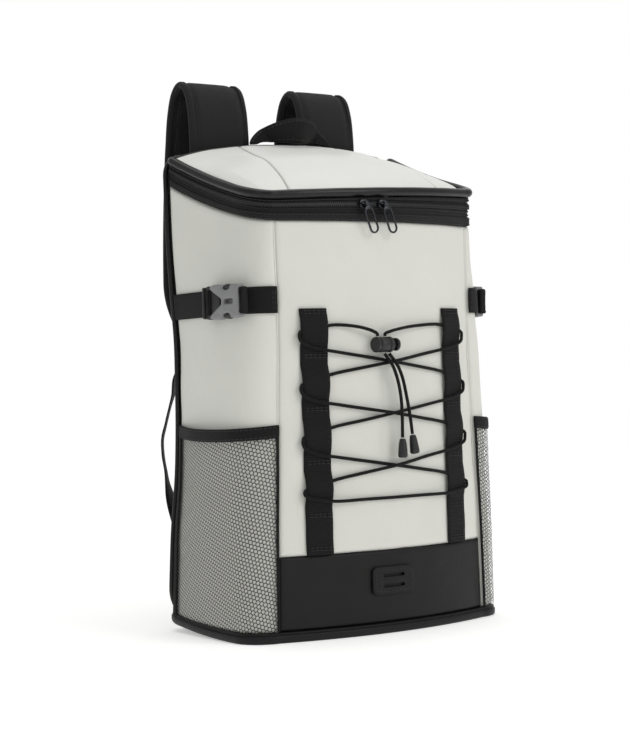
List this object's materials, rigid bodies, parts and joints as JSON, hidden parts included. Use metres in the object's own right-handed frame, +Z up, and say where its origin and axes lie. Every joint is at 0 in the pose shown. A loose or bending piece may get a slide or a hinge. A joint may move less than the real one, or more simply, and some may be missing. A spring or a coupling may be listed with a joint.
{
  "type": "cooler backpack",
  "caption": "Tall insulated backpack with zipped domed lid, laced cord on the front, net side pockets, buckled side straps, padded shoulder straps and a grab handle.",
  "frame": {"origin": "middle of the underside, where the bag stands", "axes": "+Z up, the laced front faces -Y, +X to the right when seen from the front"},
  "size_m": [0.3164, 0.2625, 0.5475],
  "materials": {
    "light_panels": "light grey coated cloth with a soft satin sheen",
    "lid_cloth": "pale coated cloth with a soft satin sheen",
    "satin_black": "satin black coated cloth",
    "black_cloth": "matt black woven cloth, padded",
    "black_webbing": "matt black woven webbing and cord",
    "black_net": "black open net",
    "piping_gloss": "glossy black piping",
    "dark_plastic": "moulded dark plastic, light sheen",
    "gunmetal": "dark gunmetal plating"
  },
  "bodies": {
    "bag": {"front_panel": "light_panels", "side_panel_left": "light_panels", "side_panel_right": "light_panels", "lid_center": "lid_cloth", "lid_side_left": "lid_cloth", "lid_side_right": "lid_cloth", "front_lower_panel": "satin_black", "base_panel": "satin_black", "lash_patch": "satin_black", "back_panel": "black_cloth", "zip_band_lower": "black_cloth", "zip_band_upper": "black_cloth", "shoulder_strap_left": "black_cloth", "shoulder_strap_right": "black_cloth", "zip_coil": "black_webbing", "grab_handle": "black_webbing", "lacing_cord": "black_webbing", "front_webbing_left": "black_webbing", "front_webbing_right": "black_webbing", "pocket_hem_left": "black_webbing", "pocket_hem_right": "black_webbing", "side_strap_front_left": "black_webbing", "side_strap_front_right": "black_webbing", "side_strap_rear_left": "black_webbing", "side_strap_rear_right": "black_webbing", "lower_webbing_left": "black_webbing", "lower_webbing_right": "black_webbing", "cord_tail_left": "black_webbing", "cord_tail_right": "black_webbing", "pocket_mesh_left": "black_net", "pocket_mesh_right": "black_net", "lid_piping": "piping_gloss", "back_piping": "piping_gloss", "buckle_female_left": "dark_plastic", "buckle_female_right": "dark_plastic", "buckle_male_left": "dark_plastic", "buckle_male_right": "dark_plastic", "strap_adjuster_left": "dark_plastic", "strap_adjuster_right": "dark_plastic", "cord_end_left": "dark_plastic", "cord_end_right": "dark_plastic", "cord_lock_body": "dark_plastic", "zip_slider_left": "gunmetal", "zip_slider_right": "gunmetal"},
    "pull_left": {"zip_pull_left": "gunmetal"},
    "pull_right": {"zip_pull_right": "gunmetal"},
    "plunger": {"cord_lock_plunger": "dark_plastic"}
  },
  "joints": [
    {"name": "zip_pull_left_swing", "type": "hinge", "parent": "bag", "child": "pull_left", "pos_m": [-0.0276, -0.09586, 0.40614], "axis": [-1, 0, 0], "range_deg": [0, 150]},
    {"name": "zip_pull_right_swing", "type": "hinge", "parent": "bag", "child": "pull_right", "pos_m": [-0.006, -0.09695, 0.40662], "axis": [-1, 0, 0], "range_deg": [0, 150]},
    {"name": "cord_lock_press", "type": "slide", "parent": "bag", "child": "plunger", "axis": [-1, 0, 0], "range_m": [0, 0.0035], "stiffness_N_per_m": 300}
  ]
}
